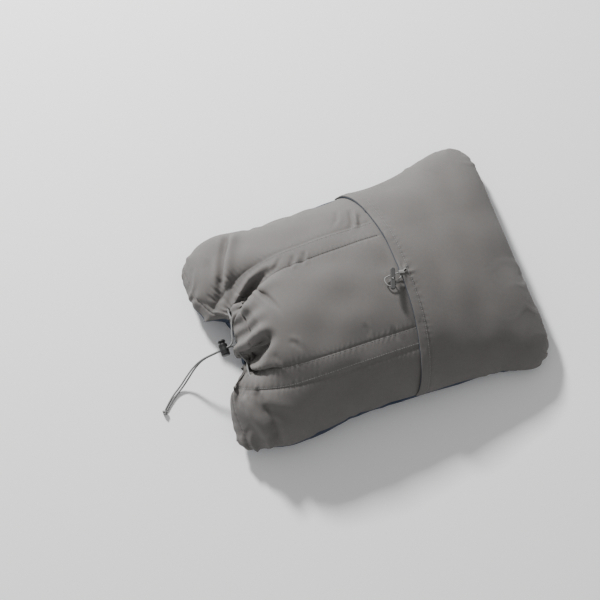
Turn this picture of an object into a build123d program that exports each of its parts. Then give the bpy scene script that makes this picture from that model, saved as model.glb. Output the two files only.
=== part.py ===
"""Camp pillow with a draw-cord cinch at one end and a stuff pocket at the other, lying on its sleeping face.

Row frame: +X runs along the pillow from the cinched end to the pocket end, +Y across it, +Z up.
The origin is on the floor under the middle of the case. All lengths are millimetres.
"""

from build123d import *

import math
import os

# Case: overall size, seam height above the floor, and cloth thickness
LENGTH = 462.0
WIDTH = 342.0
LOFT = 108.0
SEAM_Z = 45.0
CLOTH = 1.0
GAP = 0.3  # between neighbouring pieces of cloth
CORNER_R = 36.0
FLOOR_SINK = 1.5  # how far the uncut belly would reach below the floor
QUARTER_STEPS = 6  # spans of each quarter of a slice
SLICE_SHARES = (0.995, 0.95, 0.83, 0.66, 0.5, 0.36, 0.22, 0.07)  # slices on each side, of the half width

# Pinched end: the notch that the cinch pulls between two lobes, and the gusset sewn across it
NOTCH_DEPTH = 50.0
NOTCH_Y = -9.0
NOTCH_HALF = 56.0
GUSSET_HALF_HEIGHT = 15.0
GUSSET_HALF_SPAN = 150.0
GUSSET_TIP = 1.6
GUSSET_REACH = 120.0

# Plan lines of the channels' four long seams, from the cinched end to the pocket end
FAR = 400.0
CHANNEL_END_X = 208.0
UPPER_OUTER = [(-FAR, 36), (-192, 38), (-166, 58), (-124, 77), (-74, 85), (CHANNEL_END_X, 88), (FAR, 88)]
UPPER_INNER = [(-FAR, 12), (-190, 14), (-168, 30), (-134, 47), (-84, 58), (CHANNEL_END_X, 61), (FAR, 61)]
LOWER_INNER = [(-FAR, -30), (-190, -32), (-162, -46), (-124, -61), (-78, -72), (CHANNEL_END_X, -74), (FAR, -74)]
LOWER_OUTER = [(-FAR, -56), (-196, -58), (-158, -80), (-120, -91), (-60, -95), (CHANNEL_END_X, -98), (FAR, -98)]
HIGH_SIDE = [(-FAR, FAR), (FAR, FAR)]
LOW_SIDE = [(-FAR, -FAR), (FAR, -FAR)]
CHANNEL_START_X = -168.0
CHANNEL_FLOOR = 7.6  # depth of the channel's backing tape below the outer surface
TAPE = 0.6
CORD_DEPTH = 4.3  # of the cord's middle below the outer surface
RUN_XS = (186, 146, 102, 54, 8, -38, -80, -112, -136, -154, -168, -176)
ANCHOR = (10.0, 7.0, 3.2)

# Stuff pocket: rise over the case at its crown, and the hem at its mouth
POCKET_RISE = 7.0
POCKET_OUTSET = 0.3
MOUTH_X, MOUTH_Y = 57.0, -5.0
MOUTH_END_X = 34.0
HEM_WIDTH = 14.0
HEM_EXTRA = 0.9
BINDING_FROM, BINDING_TO = -0.5, 6.0  # across the mouth's edge
BINDING_DEPTH = 0.6
BINDING_FOOT = 14.0  # the binding stops this far above the seam

# Free cord: each strand from its exit to the lock, and from the lock to the knot
CORD_R = 1.25
EXIT_HOLE_R = 1.7
UPPER_EXIT = [(-182.5, 24, 64), (-187.5, 9, 63), (-191.0, -6.5, 61.8)]
LOWER_EXIT = [(-182.5, -42, 64), (-187.5, -29, 62), (-190.0, -15.5, 59.2)]
UPPER_TAIL = [(-254, -13.5, 31), (-267, -18, 14.5), (-281, -26.5, 3.6), (-298, -37, 1.3), (-312, -52, 1.3)]
LOWER_TAIL = [(-252.5, -15, 28.5), (-264.5, -20.5, 13), (-279, -29.5, 3), (-296, -39.5, 1.3), (-309.4, -53.4, 1.3)]
RUN_IN, RUN_OUT = -11.0, 34.5  # ends of the strands' straight run, along the lock's X
KNOT_AT = (-313.0, -55.5, 3.4)
KNOT_RADII = (4.4, 3.6, 3.4)
KNOT_TURN_DEG = -40.0

# Cord lock, in its own frame: local X is the cord's way out, local Z the plunger's axis
LOCK_AT = (-206.0, -11.0, 55.0)
CORD_SLOPE_DEG = 20.0
STRAND_PITCH = 2.9
LOCK_R = 6.5
LOCK_HALF_DEPTH = 5.4
LOCK_LOW, LOCK_HIGH = -10.0, 7.0
LOCK_BORE_R = 4.4
LOCK_BORE_FLOOR = -8.4
SLOT_HALF = 3.1
PINCH = 0.06  # between a strand and the edge that holds it
PLUNGER_CLEAR = 0.12
PLUNGER_LOW = -3.2
PLUNGER_TRAVEL = 3.2
BUTTON_R = 5.6
BUTTON_LOW, BUTTON_HIGH = 10.6, 13.2
GRIP_GROOVES = (-6.4, -4.2, 2.6, 4.8)
GROOVE_DEPTH = 0.45
SPRING_R, SPRING_WIRE_R, SPRING_TURNS = 3.2, 0.3, 4

# Toggle on its stem, and the loop that holds it
TOGGLE_X, TOGGLE_Y = 41.0, -15.0
TOGGLE_YAW_DEG = -20.0
TOGGLE_SIZE = (6.4, 32.0, 3.2)
TOGGLE_STAND = 11.2  # from the cloth up to the bar's underside
TOGGLE_WELL_R, TOGGLE_WELL = 2.2, 1.4
STEM_R, STEM_CLEAR = 1.0, 0.08
STEM_KNOT_R = 1.9
TACK_R, TACK_THICK = 5.0, 0.8
LOOP_R = 0.9
LOOP_ROUTE = [(17.5, 1.7), (2, 7.4), (-9.4, 7.4), (-9.4, -7.4), (2, -7.4), (17.5, -1.7)]  # round the stem
LOOP_BENDS = (9.0, 7.0, 7.0, 9.0)
LOOP_TURN_DEG = 20.0
LOOP_TACK = (8.0, 6.0, 2.0)
HEM_TACK = (9.0, 6.0, 1.2)
HEM_TACK_SHIFT = 5.0  # from the mouth's edge to the hem tack's middle


# --- The padded form ---

def end_positions(y):
    """X of the case's left and right ends at this y."""
    arc = max(abs(y) - (WIDTH / 2 - CORNER_R), 0.0)
    corner = CORNER_R - math.sqrt(max(CORNER_R**2 - arc**2, 0.0))
    notch = NOTCH_DEPTH * math.exp(-(((y - NOTCH_Y) / NOTCH_HALF) ** 4))
    return -LENGTH / 2 + corner + notch, LENGTH / 2 - corner


def quarter(y, middle, end, height, fullness):
    """Points of a quarter of a slice, from the seam at one end to the middle of the crown or the belly."""
    points = []
    for k in range(QUARTER_STEPS + 1):
        turn = math.pi / 2 * k / QUARTER_STEPS
        along = math.cos(turn) ** 0.85 if k < QUARTER_STEPS else 0.0
        lift = math.sin(turn) ** fullness if k > 0 else 0.0
        points.append((middle + (end - middle) * along, y, SEAM_Z + height * lift))
    return points


def slice_at(y, inset, rise):
    """A closed slice across Y, inside the outer surface by inset, its crown raised by rise."""
    left, right = end_positions(y)
    left, right = left + inset, right - inset
    share = abs(y) / (WIDTH / 2)
    top = max((LOFT - SEAM_Z + rise) * (1 - share**2.6) ** 0.6 - inset, 1.0)
    bottom = max((SEAM_Z + FLOOR_SINK) * (1 - share**3.6) ** 0.6 - inset, 1.0)
    y_inset = y * (1 - 2 * inset / WIDTH)
    middle = (left + right) / 2
    halves = []
    for end, way in ((left, -1), (right, 1)):
        up = quarter(y_inset, middle, end, top, 0.8)
        down = quarter(y_inset, middle, end, -bottom, 0.6)
        halves.append(Spline(list(reversed(down)) + up[1:], tangents=[(way, 0, 0), (-way, 0, 0)]))
    return Wire(halves)


def above(z):
    """Everything above a height."""
    return Pos(0, 0, z + FAR / 2) * Box(2 * FAR, 2 * FAR, FAR)


def padded_form(inset, rise=0.0):
    """The pillow's form, this far inside its outer surface, cut flat where it lies on the floor."""
    shares = [-s for s in SLICE_SHARES] + list(reversed(SLICE_SHARES))
    form = Solid.make_loft([slice_at(s * WIDTH / 2, inset, rise) for s in shares])
    return form & above(inset)


def skin(inset, thick, rise=0.0):
    """A layer of this thickness, its outer face this far inside the case's."""
    return padded_form(inset, rise) - padded_form(inset + thick, rise)


def surface_z(form, x, y):
    """Height of the form's top over a point in plan."""
    ray = Axis((x, y, FAR), (0, 0, -1))
    return max(point.Z for point, _ in form.shell().find_intersection_points(ray))


# --- Cutting blocks ---

def prism(points):
    """A tall upright block over a plan outline."""
    return extrude(make_face(Polyline(*points, close=True)), amount=FAR)


def between(low_line, high_line):
    """A tall block over the plan region between two lines along X, less half a gap on each side."""
    low = [(x, y + GAP / 2) for x, y in low_line]
    high = [(x, y - GAP / 2) for x, y in reversed(high_line)]
    return prism(low + high)


def between_xs(low, high):
    """A block between two planes across X."""
    return Pos((low + high) / 2, 0, 0) * Box(high - low, 2 * FAR, 2 * FAR)


def gusset_block(grow):
    """A lens seen along X, tallest at the notch and narrow at both corners of the cinched end."""
    span, tip, crown = GUSSET_HALF_SPAN + grow, GUSSET_TIP + grow, GUSSET_HALF_HEIGHT + grow
    top = ThreePointArc((-span, tip), (0, crown), (span, tip))
    bottom = ThreePointArc((span, -tip), (0, -crown), (-span, -tip))
    sides = [Line((span, tip), (span, -tip)), Line((-span, -tip), (-span, tip))]
    plane = Plane(origin=(-FAR, NOTCH_Y, SEAM_Z), x_dir=(0, 1, 0), z_dir=(1, 0, 0))
    return extrude(plane * make_face([top, sides[0], bottom, sides[1]]), amount=FAR - GUSSET_REACH)


def beyond_mouth(shift):
    """A tall block over everything on the pocket's side of its curved mouth, moved along X."""
    half = WIDTH / 2 + 10
    edge = ThreePointArc((MOUTH_END_X + shift, -half), (MOUTH_X + shift, MOUTH_Y), (MOUTH_END_X + shift, half))
    rest = Polyline((MOUTH_END_X + shift, half), (FAR, half), (FAR, -half), (MOUTH_END_X + shift, -half))
    return extrude(make_face(edge + rest), amount=FAR)


def line_y(line, x):
    """Y of a plan line at this x."""
    for (xa, ya), (xb, yb) in zip(line, line[1:]):
        if xa <= x <= xb:
            return ya + (yb - ya) * (x - xa) / (xb - xa)
    raise ValueError("the line doesn't reach that x")


# --- Cords ---

def route(points):
    """A path of straight runs and tangent arcs, each arc as large as its two runs allow."""
    vectors = [Vector(*p) for p in points]
    radii = []
    for a, b, c in zip(vectors, vectors[1:], vectors[2:]):
        before, after = b - a, c - b
        half_turn = math.radians(before.get_angle(after)) / 2
        radii.append(0.45 * min(before.length, after.length) / math.tan(half_turn))
    return FilletPolyline(*vectors, radius=radii), radii


def tube(path, radius):
    """A round cord along a path."""
    start = Plane(origin=path @ 0, z_dir=path % 0)
    return sweep(start * Circle(radius), path=path)


def cord(name, points, radius=CORD_R):
    """A round cord through a route, with its length and bends printed."""
    path, radii = route(points)
    made = tube(path, radius)
    share = made.volume / (math.pi * radius**2 * path.length)
    print(f"{name}: {path.length:.1f} mm long, volume share {share:.3f}, radii", [round(r, 1) for r in radii])
    return made


# --- Soft parts of the case ---

def case_parts():
    """The cloth panels of the case, the channels' tapes and the foam inside."""
    outer = padded_form(0.0)
    cloth = outer - padded_form(CLOTH)
    open_cloth = cloth - gusset_block(GAP)
    back = open_cloth & above(SEAM_Z + GAP / 2)
    made = {
        "front_panel": open_cloth - above(SEAM_Z - GAP / 2),
        "end_gusset": cloth & gusset_block(0.0),
        "upper_back_panel": back & between(UPPER_OUTER, HIGH_SIDE),
        "middle_panel": back & between(LOWER_INNER, UPPER_INNER),
        "lower_back_panel": back & between(LOW_SIDE, LOWER_OUTER),
    }
    tape_skin = skin(CHANNEL_FLOOR, TAPE) & above(SEAM_Z + 10) & between_xs(CHANNEL_START_X, CHANNEL_END_X)
    trench_span = above(SEAM_Z + 4) & between_xs(-FAR, CHANNEL_END_X + 6)
    trench_floor = padded_form(CHANNEL_FLOOR + TAPE + GAP)
    foam = padded_form(CLOTH + GAP)
    channels = {
        "upper": (between(UPPER_INNER, UPPER_OUTER), UPPER_EXIT),
        "lower": (between(LOWER_OUTER, LOWER_INNER), LOWER_EXIT),
    }
    for side, (block, exit_points) in channels.items():
        made[f"{side}_channel_strip"] = (back & block) - exit_hole(exit_points)
        made[f"{side}_channel_tape"] = tape_skin & block
        foam = foam - ((block & trench_span) - trench_floor)
    made["foam_fill"] = foam
    return made, outer


def exit_hole(exit_points):
    """The eyelet that a strand leaves its channel by."""
    out, after = Vector(*exit_points[0]), Vector(*exit_points[1])
    way = (after - out).normalized()
    return Plane(origin=out, z_dir=way) * Cylinder(EXIT_HOLE_R, 18)


def cord_runs():
    """The cord inside each channel, from where it is sewn down to its exit, and the tack that holds it."""
    made = {}
    middle_form = padded_form(CORD_DEPTH)
    sides = {"upper": (UPPER_INNER, UPPER_OUTER, UPPER_EXIT), "lower": (LOWER_OUTER, LOWER_INNER, LOWER_EXIT)}
    for side, (low, high, exit_points) in sides.items():
        middles = [(x, (line_y(low, x) + line_y(high, x)) / 2) for x in RUN_XS]
        points = [(x, y, surface_z(middle_form, x, y)) for x, y in middles]
        out, after = Vector(*exit_points[0]), Vector(*exit_points[1])
        points += [tuple(out - (after - out).normalized() * 5), tuple(out)]
        made[f"{side}_cord_run"] = cord(f"{side}_cord_run", points)
        end = Vector(*points[0])
        way = (end - Vector(*points[1])).normalized()
        seat = Plane(origin=end + way * (ANCHOR[0] / 2 + 0.05), x_dir=way, z_dir=way.cross(Vector(0, 1, 0)))
        made[f"{side}_cord_tack"] = seat * Box(*ANCHOR)
    return made


def pocket_parts():
    """The stuff pocket: its panel, the doubled hem at its mouth and the binding under the hem's edge."""
    lining_top = -POCKET_OUTSET + GAP / 2
    panel = skin(-POCKET_OUTSET - CLOTH, CLOTH, POCKET_RISE) & above(SEAM_Z + 1)
    hem = skin(-POCKET_OUTSET - CLOTH - HEM_EXTRA, CLOTH + HEM_EXTRA, POCKET_RISE) & above(SEAM_Z + 1)
    binding = skin(lining_top, BINDING_DEPTH, POCKET_RISE) & above(SEAM_Z + BINDING_FOOT)
    return {
        "pocket_panel": panel & beyond_mouth(HEM_WIDTH),
        "pocket_hem": hem & (beyond_mouth(0) - beyond_mouth(HEM_WIDTH - GAP)),
        "hem_binding": binding & (beyond_mouth(BINDING_FROM) - beyond_mouth(BINDING_TO)),
    }


# --- Cord lock ---

def lock_plane():
    """The lock's frame: X the cord's way out, Z the plunger's axis."""
    slope = math.radians(CORD_SLOPE_DEG)
    return Plane(origin=LOCK_AT, x_dir=(-math.cos(slope), 0, -math.sin(slope)), z_dir=(0, 1, 0))


def cord_slot(low, high):
    """The slot across the lock that both strands pass, with rounded edges."""
    block = Pos(0, 0, (low + high) / 2) * Box(4 * LOCK_R, 2 * SLOT_HALF, high - low)
    return fillet(block.edges().filter_by(Axis.X), 0.9)


def ring(radius, depth, low, high):
    """A groove of square section round the Z axis."""
    outside = Pos(0, 0, (low + high) / 2) * Cylinder(radius + 1, high - low)
    return outside - Pos(0, 0, (low + high) / 2) * Cylinder(radius - depth, high - low)


def upright(radius, low, high):
    """A cylinder along Z between two heights."""
    return Pos(0, 0, (low + high) / 2) * Cylinder(radius, high - low)


def lock_parts():
    """The cord lock's body, plunger and spring, in the row frame."""
    barrel = upright(LOCK_R, LOCK_LOW, LOCK_HIGH)
    barrel = fillet(barrel.edges().sort_by(Axis.Z)[0], 2.4)
    barrel = fillet(barrel.edges().sort_by(Axis.Z)[-1], 1.0)
    barrel = barrel & Box(2 * LOCK_HALF_DEPTH, 4 * LOCK_R, 4 * LOCK_R)
    for z in GRIP_GROOVES:
        barrel = barrel - ring(LOCK_R, GROOVE_DEPTH, z, z + 1.1)
    hole_low = -CORD_R - PINCH - PLUNGER_TRAVEL
    hole_high = CORD_R + PINCH
    body = barrel - upright(LOCK_BORE_R, LOCK_BORE_FLOOR, LOCK_HIGH + 1) - cord_slot(hole_low, hole_high)
    shaft = upright(LOCK_BORE_R - PLUNGER_CLEAR, PLUNGER_LOW, BUTTON_LOW)
    cap = upright(BUTTON_R, BUTTON_LOW, BUTTON_HIGH)
    cap = fillet(cap.edges().sort_by(Axis.Z)[-1], 1.6)
    plunger = shaft + cap - cord_slot(-hole_high, -hole_low)
    spring_height = PLUNGER_LOW - LOCK_BORE_FLOOR - 2 * SPRING_WIRE_R - 0.2
    coil = Helix(pitch=spring_height / SPRING_TURNS, height=spring_height, radius=SPRING_R)
    wire = Plane(origin=coil @ 0, z_dir=coil % 0) * Circle(SPRING_WIRE_R)
    spring = Pos(0, 0, LOCK_BORE_FLOOR + SPRING_WIRE_R + 0.1) * sweep(wire, path=coil, is_frenet=True)
    frame = lock_plane()
    return {name: frame * shape for name, shape in
            {"lock_body": body, "lock_plunger": plunger, "lock_spring": spring}.items()}


def strand(name, exit_points, side, tail_points):
    """A free strand: from its exit, straight through the lock on one side of its axis, to the knot."""
    frame = lock_plane()
    run = [frame.from_local_coords(Vector(x, side * STRAND_PITCH / 2, 0)) for x in (RUN_IN, RUN_OUT)]
    return cord(name, exit_points + [tuple(p) for p in run] + tail_points)


def end_knot():
    """The overhand knot that ties both strands' ends together, as one closed lump."""
    return Location(KNOT_AT, (0, 0, KNOT_TURN_DEG)) * scale(Sphere(1), by=KNOT_RADII)


# --- Toggle and its loop ---

def toggle_parts(case):
    """The toggle bar on its stem, the loop hooked round the stem, and the sewn tacks of both."""
    base = surface_z(case, TOGGLE_X, TOGGLE_Y)
    seat = base + TACK_THICK
    under = base + TOGGLE_STAND
    at_stem = Pos(TOGGLE_X, TOGGLE_Y, 0)
    tack = at_stem * upright(TACK_R, base - 3, seat) - case
    bar = fillet(Box(*TOGGLE_SIZE).edges().filter_by(Axis.Z), TOGGLE_SIZE[0] / 2 - 0.1)
    bar = fillet(bar.edges().group_by(Axis.Z)[-1], 1.0)
    bar = fillet(bar.edges().group_by(Axis.Z)[0], 0.6)
    bar = bar - Cylinder(STEM_R + STEM_CLEAR, 10)
    bar = bar - upright(TOGGLE_WELL_R, TOGGLE_SIZE[2] / 2 - TOGGLE_WELL, 5)
    bar = Location((TOGGLE_X, TOGGLE_Y, under + TOGGLE_SIZE[2] / 2), (0, 0, TOGGLE_YAW_DEG)) * bar
    well_floor = under + TOGGLE_SIZE[2] - TOGGLE_WELL
    knot = upright(STEM_KNOT_R, well_floor + GAP / 2, well_floor + 2.2)
    knot = fillet(knot.edges().group_by(Axis.Z)[-1], 0.9)
    stem = at_stem * (upright(STEM_R, seat + GAP / 2, well_floor + 1) + knot)

    reach = LOOP_ROUTE[0][0] + GAP + LOOP_TACK[0] / 2
    turn = math.radians(LOOP_TURN_DEG)
    tack_x, tack_y = TOGGLE_X + reach * math.cos(turn), TOGGLE_Y + reach * math.sin(turn)
    lining = padded_form(BINDING_DEPTH + GAP / 2 - POCKET_OUTSET, POCKET_RISE)
    tack_top = surface_z(lining, tack_x, tack_y) - 0.1
    loop_z = tack_top - LOOP_TACK[2] / 2
    at_loop = Location((TOGGLE_X, TOGGLE_Y, loop_z), (0, 0, LOOP_TURN_DEG))
    loop_path = FilletPolyline(*[(x, y, 0) for x, y in LOOP_ROUTE], radius=list(LOOP_BENDS))
    loop = at_loop * tube(loop_path, LOOP_R)
    loop_tack = at_loop * Pos(reach, 0, 0) * Box(*LOOP_TACK)
    hem_form = padded_form(-POCKET_OUTSET - CLOTH - HEM_EXTRA, POCKET_RISE)
    hem_tack_x = MOUTH_X + HEM_TACK_SHIFT
    hem_top = surface_z(hem_form, hem_tack_x, tack_y)
    hem_tack = Location((hem_tack_x, tack_y, hem_top), (0, 0, LOOP_TURN_DEG)) * Box(*HEM_TACK) - hem_form
    print(f"heights: cloth {base:.2f}, loop {loop_z:.2f}, hem's top {hem_top:.2f}, bar's underside {under:.2f}")
    return {"stem_tack": tack, "toggle_bar": bar, "toggle_stem": stem,
            "closure_loop": loop, "loop_tack": loop_tack, "hem_tack": hem_tack}


def main():
    """Builds every sub-part and writes it to parts/NODE.step."""
    os.makedirs("parts", exist_ok=True)
    parts, case = case_parts()
    parts.update(cord_runs())
    parts.update(pocket_parts())
    parts.update(lock_parts())
    parts["upper_strand"] = strand("upper_strand", UPPER_EXIT, 1, UPPER_TAIL)
    parts["lower_strand"] = strand("lower_strand", LOWER_EXIT, -1, LOWER_TAIL)
    parts["end_knot"] = end_knot()
    parts.update(toggle_parts(case))
    for name, shape in parts.items():
        print(f"{name}: {len(shape.solids())} solid(s), {shape.volume:.0f} cubic mm, valid {shape.is_valid}")
        export_step(shape, f"parts/{name}.step")


main()
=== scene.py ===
import bpy
import math
import numpy as np
from mathutils import Matrix, Vector


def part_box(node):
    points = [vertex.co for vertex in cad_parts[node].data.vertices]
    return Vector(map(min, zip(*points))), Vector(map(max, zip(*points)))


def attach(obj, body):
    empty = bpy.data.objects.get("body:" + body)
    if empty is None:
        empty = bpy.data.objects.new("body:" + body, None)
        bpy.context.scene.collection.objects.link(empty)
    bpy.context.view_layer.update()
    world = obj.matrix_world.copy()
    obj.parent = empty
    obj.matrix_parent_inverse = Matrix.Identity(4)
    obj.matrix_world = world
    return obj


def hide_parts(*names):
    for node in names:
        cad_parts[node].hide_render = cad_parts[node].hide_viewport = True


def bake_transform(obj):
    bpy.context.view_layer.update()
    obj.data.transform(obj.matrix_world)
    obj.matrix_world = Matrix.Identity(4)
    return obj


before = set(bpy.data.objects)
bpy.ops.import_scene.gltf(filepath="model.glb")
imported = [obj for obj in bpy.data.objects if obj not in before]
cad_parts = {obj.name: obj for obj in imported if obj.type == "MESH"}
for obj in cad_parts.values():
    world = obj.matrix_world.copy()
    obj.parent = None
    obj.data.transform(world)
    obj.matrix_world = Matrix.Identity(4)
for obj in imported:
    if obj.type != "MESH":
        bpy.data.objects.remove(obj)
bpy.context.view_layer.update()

# A camp pillow whose case is sewn flat, filled and cinched by a small cloth solver, all in metres.
# The case is two sheets on one grid of columns (u, along the pillow) and rows (v, across it).
# Sheet 0 is the grey back with its seams, and sheet 1 is the blue sleeping face under it.

# --- The flat cut ---

HALF_L, HALF_W = 0.248, 0.196
CINCH_U, END_U = -HALF_L + 0.021, -HALF_L + 0.009  # where the cord gathers the channels and the end seam
SEAM_VS = (-HALF_W, -0.103, -0.075, 0.063, 0.091, HALF_W)  # edge, lower channel, upper channel, edge
LOWER_CHANNEL, UPPER_CHANNEL = -0.089, 0.077  # the channels' middles
ROW_CELLS = (20, 8, 36, 8, 24)
COLUMN_CELLS = (8, 84, 4, 40)  # gusset, back, hem, pocket
GUSSET_WIDTH, GUSSET_WIDEN = 0.015, 0.020
MOUTH_U, MOUTH_CURVE, HEM = 0.0335, 0.0075, 0.014
CORNERS = ((0.012, 0.022), (0.034, 0.016))  # how far the cut's corners are drawn in: cinched end, pocket end
J = [0] + [int(n) for n in np.cumsum(ROW_CELLS)]  # rows of the edges and seams, in order
GUSSET, MOUTH, HEM_END, LAST = (int(n) for n in np.cumsum(COLUMN_CELLS))
CENTRE_ROW = (J[2] + J[3]) // 2
CLOTH = 0.001

# --- What the solver is given ---

VOLUME = 0.0112
PRESSURE, MAX_PUSH = 0.03, 0.004
HEAD, MIDDLE_Z = 4, 0.054  # how much the push grows downwards, from this height
WEIGHT = 0.00004
CENTRING = 0.1  # share of the pocket end's sideways drift that is taken back
SEAM_TUCKS = (0.00015, 0.00035, 0.0009, 0.0005)  # how hard each channel seam is drawn in, from the lowest up
GATHERS = (0.20, 0.32)  # share that the cinch takes from the lower and upper channels' length
PINCH = 0.5  # share that it takes from the end seam between the lobes
NOTCH_TUCK = 0.55  # share that the front panel's end is drawn in below the notch
EDGE_SHRINK = 0.965
SHEAR = 0.35
MAX_SPEED = 0.004
PASSES = 12
START_Z, START_DOME = 0.05, 0.02  # where the flat sheets lie before they fill, and how far each bulges
STAGES = (  # stride over the grid, steps, the pull's start and end, push of short links, damping
    (4, 250, 0, 0, 0.3, 0.9),
    (4, 300, 0, 1, 0.3, 0.9),
    (2, 150, 1, 1, 0.5, 0.85),
    (1, 160, 1, 1, 0.9, 0.8),
)
PINS = [  # sheet, column, row, and the place where the cinch holds that point
    (0, GUSSET, J[3], (-0.1835, 0.0235, 0.0640)),
    (0, GUSSET, J[2], (-0.1845, -0.0415, 0.0640)),
    (0, GUSSET, J[1], (-0.2000, -0.0710, 0.0660)),
    (0, 0, CENTRE_ROW, (-0.1835, -0.0090, 0.0400)),
    (0, 0, J[4], (-0.2120, 0.0440, 0.0330)),
]
TOGGLE = (0.041, -0.015)
MOUTH_TACK = (0.0600, -0.0075)
CLOTH_Z_AT_TOGGLE = 0.10787

CORD_X, CORD_Y, CORD_Z, CORD_LEAN = -0.1850, -0.0090, 0.0640, 0.7  # the plane that the drawn cord holds

EDGES = (  # of a grid: its first and last column, then its first and last row
    (slice(0, 1), slice(None)),
    (slice(-1, None), slice(None)),
    (slice(None), slice(0, 1)),
    (slice(None), slice(-1, None)),
)


def bell(x, width, power=2):
    return np.exp(-(np.abs(x) / width) ** power)


def ease(x):
    x = np.clip(x, 0, 1)
    return x * x * (3 - 2 * x)


def spaced(lines, cells):
    """Grid lines with this many even cells between each pair of lines."""
    parts = [np.linspace(a, b, n, endpoint=False) for a, b, n in zip(lines, lines[1:], cells)]
    return np.concatenate(parts + [[lines[-1]]])


def side_shift(u, v):
    """How far the cut's long sides are curved in, or out at the lower lobe and the pocket's upper corner."""
    lower = 0.021 * ease((u + 0.175) / 0.12) * (1 - 0.45 * ease((u - 0.14) / 0.08))
    lower -= 0.006 * ease((-0.17 - u) / 0.05)
    upper = 0.010 * ease((u + 0.16) / 0.08) * (1 - ease((u - 0.10) / 0.06)) - 0.008 * ease((u - 0.14) / 0.06)
    below = np.clip((SEAM_VS[2] - v) / (HALF_W + SEAM_VS[2]), 0, 1)
    above = np.clip((v - SEAM_VS[3]) / (HALF_W - SEAM_VS[3]), 0, 1)
    return lower * below - upper * above


def gusset_seam(v):
    """Where the gusset's seam crosses these rows."""
    return -HALF_L + GUSSET_WIDTH + GUSSET_WIDEN * (v / HALF_W) ** 4


def mouth_line(v):
    """Where the pocket's mouth crosses these rows."""
    return MOUTH_U - MOUTH_CURVE * (v / HALF_W) ** 2


def flat_cut():
    """Flat (u, v) of every grid point."""
    v = spaced(SEAM_VS, ROW_CELLS)
    mouth = mouth_line(v)
    lines = [np.full_like(v, -HALF_L), gusset_seam(v), mouth, mouth + HEM, np.full_like(v, HALF_L)]
    flat = np.zeros((LAST + 1, len(v), 2))
    start = 0
    for a, b, n in zip(lines, lines[1:], COLUMN_CELLS):
        for k in range(n + 1):
            flat[start + k, :, 0] = a + (b - a) * k / n
        start += n
    flat[:, :, 1] = v
    flat[:, :, 1] += side_shift(flat[:, :, 0], flat[:, :, 1])
    s, t = flat[:, :, 0] / HALF_L, flat[:, :, 1] / HALF_W
    corner = np.array(CORNERS)[(s > 0).astype(int), (t > 0).astype(int)]
    pull = corner * np.abs(s) ** 8 * np.abs(t) ** 6
    flat[:, :, 0] -= np.sign(s) * pull
    flat[:, :, 1] -= np.sign(t) * pull
    return flat


def rest_lengths(flat):
    """Rest lengths along u, along v and along both diagonals."""
    pairs = {"u": (flat[1:], flat[:-1]), "v": (flat[:, 1:], flat[:, :-1]),
             "p": (flat[1:, 1:], flat[:-1, :-1]), "q": (flat[1:, :-1], flat[:-1, 1:])}
    return {key: np.linalg.norm(a - b, axis=-1) for key, (a, b) in pairs.items()}


def draw_in(flat, share):
    """Factors on the rest lengths along u of both sheets and along v, for this share of the cinch's pull."""
    u, v = flat[..., 0], flat[..., 1]
    um, vm = (u[1:] + u[:-1]) / 2, (v[1:] + v[:-1]) / 2
    lines = GATHERS[0] * bell(vm - LOWER_CHANNEL, 0.016, 4) + GATHERS[1] * bell(vm - UPPER_CHANNEL, 0.016, 4)
    along = np.stack([1 - share * bell(um - CINCH_U, 0.075) * (um > CINCH_U - 0.002) * lines,
                      1 - share * NOTCH_TUCK * bell(um - END_U, 0.07) * bell(vm + 0.006, 0.09, 4)])
    um, vm = (u[:, 1:] + u[:, :-1]) / 2, (v[:, 1:] + v[:, :-1]) / 2
    pinched = bell(np.maximum(um - END_U, 0), 0.030) * bell(vm + 0.010, 0.070, 6)
    across = 1 - share * PINCH * pinched
    along[:, :, 0] *= EDGE_SHRINK
    along[:, :, -1] *= EDGE_SHRINK
    across[0] *= EDGE_SHRINK
    across[-1] *= EDGE_SHRINK
    return along, across


def seam_tuck(flat):
    """How strongly each channel seam is drawn in."""
    u, v = flat[..., 0], flat[..., 1]
    along = 0.05 + 0.95 * np.exp(-np.maximum(u - CINCH_U, 0) / 0.08)
    lines = sum(pull * bell(v - c, 0.0025) for pull, c in zip(SEAM_TUCKS, SEAM_VS[1:-1]))
    return along * lines * (u > CINCH_U - 0.002) * (u < 0.2)


def pull_pair(a, b, rest, stretch, squash):
    """Moves two sets of points so that each pair nears its rest length."""
    d = b - a
    length = np.sqrt((d * d).sum(-1))
    off = length - rest
    share = np.where(off > 0, stretch, squash) * 0.5
    move = d * (share * off / np.maximum(length, 1e-9))[..., None]
    a += move
    b -= move


def pull_all(P, rest, squash):
    """One pass over every cloth link: along u, along v and along both diagonals."""
    for s in (0, 1):
        a, b = slice(s, -1, 2), slice(s + 1, None, 2)
        pull_pair(P[:, a], P[:, b], rest["u"][:, s::2], 1.0, squash)
        pull_pair(P[:, :, a], P[:, :, b], rest["v"][:, :, s::2], 1.0, squash)
        pull_pair(P[:, a, :-1], P[:, b, 1:], rest["p"][:, s::2], SHEAR, SHEAR / 2)
        pull_pair(P[:, a, 1:], P[:, b, :-1], rest["q"][:, s::2], SHEAR, SHEAR / 2)


def sew_edges(P):
    """Holds the two sheets together all round."""
    for edge in EDGES:
        middle = (P[0][edge] + P[1][edge]) / 2
        P[0][edge] = middle
        P[1][edge] = middle


def differences(P):
    """Vectors along u and along v at every point of each sheet."""
    Q = np.pad(P, ((0, 0), (1, 1), (1, 1), (0, 0)), mode="edge")
    return Q[:, 2:, 1:-1] - Q[:, :-2, 1:-1], Q[:, 1:-1, 2:] - Q[:, 1:-1, :-2]


def unit(n):
    return n / (np.linalg.norm(n, axis=-1, keepdims=True) + 1e-12)


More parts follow.
